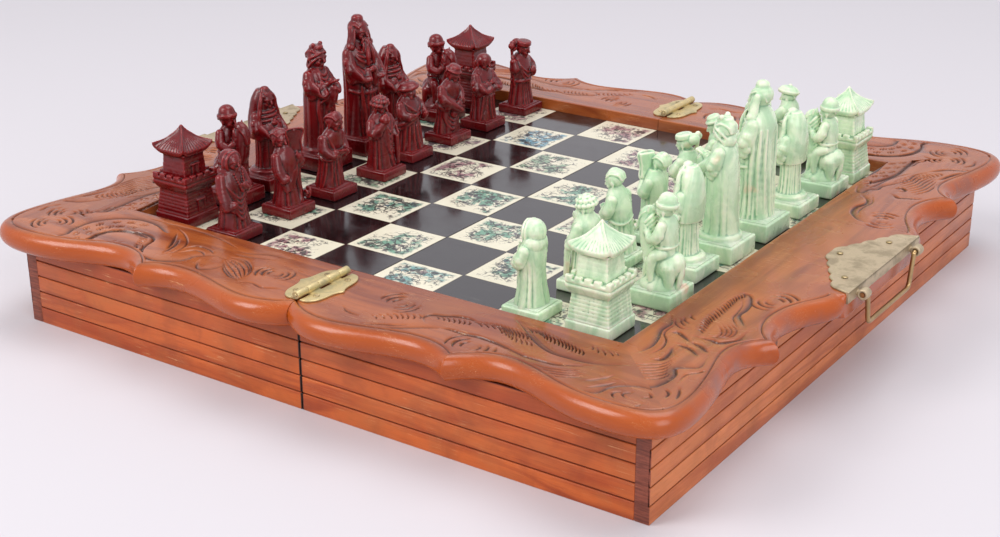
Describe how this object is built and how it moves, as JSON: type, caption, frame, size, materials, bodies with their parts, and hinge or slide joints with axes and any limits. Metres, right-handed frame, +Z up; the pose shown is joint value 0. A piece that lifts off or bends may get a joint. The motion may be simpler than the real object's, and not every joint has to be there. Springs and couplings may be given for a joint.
{
  "type": "folding chess set",
  "caption": "Square folding game case with a carved scalloped wooden rim, inlaid board, end handles, storage drawers and cast figural chessmen.",
  "frame": {"origin": "under the middle of the opened case, on the surface it stands on", "axes": "+X across the fold towards the green side's handle, +Y along the fold towards the drawer fronts, +Z up"},
  "size_m": [0.463, 0.449, 0.1423],
  "materials": {
    "varnished_wood": "orange-brown gloss varnish over carved wood",
    "plain_wood": "thin matt varnish",
    "black_lacquer": "polished black lacquer",
    "printed_tile": "cream tile under clear gloss, with a small printed picture",
    "dull_brass": "dull, lightly scratched sheet brass",
    "brass_wire": "bright wire, worn",
    "hinge_brass": "aged cast brass",
    "screw_brass": "dull screw heads",
    "knob_brass": "turned and polished",
    "red_resin": "dark crimson cast resin, polished by handling",
    "jade_resin": "pale green cast resin, waxy gloss"
  },
  "bodies": {
    "left_case": {"left_rim": "varnished_wood", "left_front_panel": "varnished_wood", "left_end_panel": "varnished_wood", "left_spine_panel": "plain_wood", "left_bottom_panel": "plain_wood", "left_board": "black_lacquer", "left_light_squares": "printed_tile", "left_handle_plate": "dull_brass", "left_hinge_leaves": "hinge_brass", "left_screws": "screw_brass"},
    "left_drawer": {"left_drawer_tray": "plain_wood", "left_drawer_front": "varnished_wood", "left_drawer_knob": "knob_brass"},
    "left_handle": {"left_handle": "brass_wire"},
    "right_case": {"right_rim": "varnished_wood", "right_front_panel": "varnished_wood", "right_end_panel": "varnished_wood", "right_spine_panel": "plain_wood", "right_bottom_panel": "plain_wood", "right_board": "black_lacquer", "right_light_squares": "printed_tile", "right_handle_plate": "dull_brass", "right_hinge_leaves": "hinge_brass", "right_screws": "screw_brass"},
    "right_drawer": {"right_drawer_tray": "plain_wood", "right_drawer_front": "varnished_wood", "right_drawer_knob": "knob_brass"},
    "right_handle": {"right_handle": "brass_wire"},
    "red_rook_front": {"red_rook_front": "red_resin"},
    "red_knight_front": {"red_knight_front": "red_resin"},
    "red_bishop_front": {"red_bishop_front": "red_resin"},
    "red_queen": {"red_queen": "red_resin"},
    "red_king": {"red_king": "red_resin"},
    "red_bishop_back": {"red_bishop_back": "red_resin"},
    "red_knight_back": {"red_knight_back": "red_resin"},
    "red_rook_back": {"red_rook_back": "red_resin"},
    "red_pawn_1": {"red_pawn_1": "red_resin"},
    "red_pawn_2": {"red_pawn_2": "red_resin"},
    "red_pawn_3": {"red_pawn_3": "red_resin"},
    "red_pawn_4": {"red_pawn_4": "red_resin"},
    "red_pawn_5": {"red_pawn_5": "red_resin"},
    "red_pawn_6": {"red_pawn_6": "red_resin"},
    "red_pawn_7": {"red_pawn_7": "red_resin"},
    "red_pawn_8": {"red_pawn_8": "red_resin"},
    "green_rook_front": {"green_rook_front": "jade_resin"},
    "green_knight_front": {"green_knight_front": "jade_resin"},
    "green_bishop_front": {"green_bishop_front": "jade_resin"},
    "green_queen": {"green_queen": "jade_resin"},
    "green_king": {"green_king": "jade_resin"},
    "green_bishop_back": {"green_bishop_back": "jade_resin"},
    "green_knight_back": {"green_knight_back": "jade_resin"},
    "green_rook_back": {"green_rook_back": "jade_resin"},
    "green_pawn_1": {"green_pawn_1": "jade_resin"},
    "green_pawn_2": {"green_pawn_2": "jade_resin"},
    "green_pawn_3": {"green_pawn_3": "jade_resin"},
    "green_pawn_4": {"green_pawn_4": "jade_resin"},
    "green_pawn_5": {"green_pawn_5": "jade_resin"},
    "green_pawn_6": {"green_pawn_6": "jade_resin"},
    "green_pawn_7": {"green_pawn_7": "jade_resin"},
    "green_pawn_8": {"green_pawn_8": "jade_resin"}
  },
  "joints": [
    {"name": "case_fold", "type": "hinge", "parent": "left_case", "child": "right_case", "pos_m": [0, 0, 0.0639], "axis": [0, -1, 0], "range_deg": [0, 90]},
    {"name": "drawer_left_slide", "type": "slide", "parent": "left_case", "child": "left_drawer", "axis": [0, 1, 0], "range_m": [0, 0.34]},
    {"name": "drawer_right_slide", "type": "slide", "parent": "right_case", "child": "right_drawer", "axis": [0, 1, 0], "range_m": [0, 0.34]},
    {"name": "handle_left_swing", "type": "hinge", "parent": "left_case", "child": "left_handle", "pos_m": [-0.2286, 0, 0.0588], "axis": [0, 1, 0], "range_deg": [0, 180]},
    {"name": "handle_right_swing", "type": "hinge", "parent": "right_case", "child": "right_handle", "pos_m": [0.2286, 0, 0.0588], "axis": [0, -1, 0], "range_deg": [0, 180]},
    {"name": "lift_red_rook_front", "type": "slide", "parent": "left_case", "child": "red_rook_front", "axis": [0, 0, 1], "range_m": [0, 0.02]},
    {"name": "lift_red_knight_front", "type": "slide", "parent": "left_case", "child": "red_knight_front", "axis": [0, 0, 1], "range_m": [0, 0.02]},
    {"name": "lift_red_bishop_front", "type": "slide", "parent": "left_case", "child": "red_bishop_front", "axis": [0, 0, 1], "range_m": [0, 0.02]},
    {"name": "lift_red_queen", "type": "slide", "parent": "left_case", "child": "red_queen", "axis": [0, 0, 1], "range_m": [0, 0.02]},
    {"name": "lift_red_king", "type": "slide", "parent": "left_case", "child": "red_king", "axis": [0, 0, 1], "range_m": [0, 0.02]},
    {"name": "lift_red_bishop_back", "type": "slide", "parent": "left_case", "child": "red_bishop_back", "axis": [0, 0, 1], "range_m": [0, 0.02]},
    {"name": "lift_red_knight_back", "type": "slide", "parent": "left_case", "child": "red_knight_back", "axis": [0, 0, 1], "range_m": [0, 0.02]},
    {"name": "lift_red_rook_back", "type": "slide", "parent": "left_case", "child": "red_rook_back", "axis": [0, 0, 1], "range_m": [0, 0.02]},
    {"name": "lift_red_pawn_1", "type": "slide", "parent": "left_case", "child": "red_pawn_1", "axis": [0, 0, 1], "range_m": [0, 0.02]},
    {"name": "lift_red_pawn_2", "type": "slide", "parent": "left_case", "child": "red_pawn_2", "axis": [0, 0, 1], "range_m": [0, 0.02]},
    {"name": "lift_red_pawn_3", "type": "slide", "parent": "left_case", "child": "red_pawn_3", "axis": [0, 0, 1], "range_m": [0, 0.02]},
    {"name": "lift_red_pawn_4", "type": "slide", "parent": "left_case", "child": "red_pawn_4", "axis": [0, 0, 1], "range_m": [0, 0.02]},
    {"name": "lift_red_pawn_5", "type": "slide", "parent": "left_case", "child": "red_pawn_5", "axis": [0, 0, 1], "range_m": [0, 0.02]},
    {"name": "lift_red_pawn_6", "type": "slide", "parent": "left_case", "child": "red_pawn_6", "axis": [0, 0, 1], "range_m": [0, 0.02]},
    {"name": "lift_red_pawn_7", "type": "slide", "parent": "left_case", "child": "red_pawn_7", "axis": [0, 0, 1], "range_m": [0, 0.02]},
    {"name": "lift_red_pawn_8", "type": "slide", "parent": "left_case", "child": "red_pawn_8", "axis": [0, 0, 1], "range_m": [0, 0.02]},
    {"name": "lift_green_rook_front", "type": "slide", "parent": "right_case", "child": "green_rook_front", "axis": [0, 0, 1], "range_m": [0, 0.02]},
    {"name": "lift_green_knight_front", "type": "slide", "parent": "right_case", "child": "green_knight_front", "axis": [0, 0, 1], "range_m": [0, 0.02]},
    {"name": "lift_green_bishop_front", "type": "slide", "parent": "right_case", "child": "green_bishop_front", "axis": [0, 0, 1], "range_m": [0, 0.02]},
    {"name": "lift_green_queen", "type": "slide", "parent": "right_case", "child": "green_queen", "axis": [0, 0, 1], "range_m": [0, 0.02]},
    {"name": "lift_green_king", "type": "slide", "parent": "right_case", "child": "green_king", "axis": [0, 0, 1], "range_m": [0, 0.02]},
    {"name": "lift_green_bishop_back", "type": "slide", "parent": "right_case", "child": "green_bishop_back", "axis": [0, 0, 1], "range_m": [0, 0.02]},
    {"name": "lift_green_knight_back", "type": "slide", "parent": "right_case", "child": "green_knight_back", "axis": [0, 0, 1], "range_m": [0, 0.02]},
    {"name": "lift_green_rook_back", "type": "slide", "parent": "right_case", "child": "green_rook_back", "axis": [0, 0, 1], "range_m": [0, 0.02]},
    {"name": "lift_green_pawn_1", "type": "slide", "parent": "right_case", "child": "green_pawn_1", "axis": [0, 0, 1], "range_m": [0, 0.02]},
    {"name": "lift_green_pawn_2", "type": "slide", "parent": "right_case", "child": "green_pawn_2", "axis": [0, 0, 1], "range_m": [0, 0.02]},
    {"name": "lift_green_pawn_3", "type": "slide", "parent": "right_case", "child": "green_pawn_3", "axis": [0, 0, 1], "range_m": [0, 0.02]},
    {"name": "lift_green_pawn_4", "type": "slide", "parent": "right_case", "child": "green_pawn_4", "axis": [0, 0, 1], "range_m": [0, 0.02]},
    {"name": "lift_green_pawn_5", "type": "slide", "parent": "right_case", "child": "green_pawn_5", "axis": [0, 0, 1], "range_m": [0, 0.02]},
    {"name": "lift_green_pawn_6", "type": "slide", "parent": "right_case", "child": "green_pawn_6", "axis": [0, 0, 1], "range_m": [0, 0.02]},
    {"name": "lift_green_pawn_7", "type": "slide", "parent": "right_case", "child": "green_pawn_7", "axis": [0, 0, 1], "range_m": [0, 0.02]},
    {"name": "lift_green_pawn_8", "type": "slide", "parent": "right_case", "child": "green_pawn_8", "axis": [0, 0, 1], "range_m": [0, 0.02]}
  ]
}
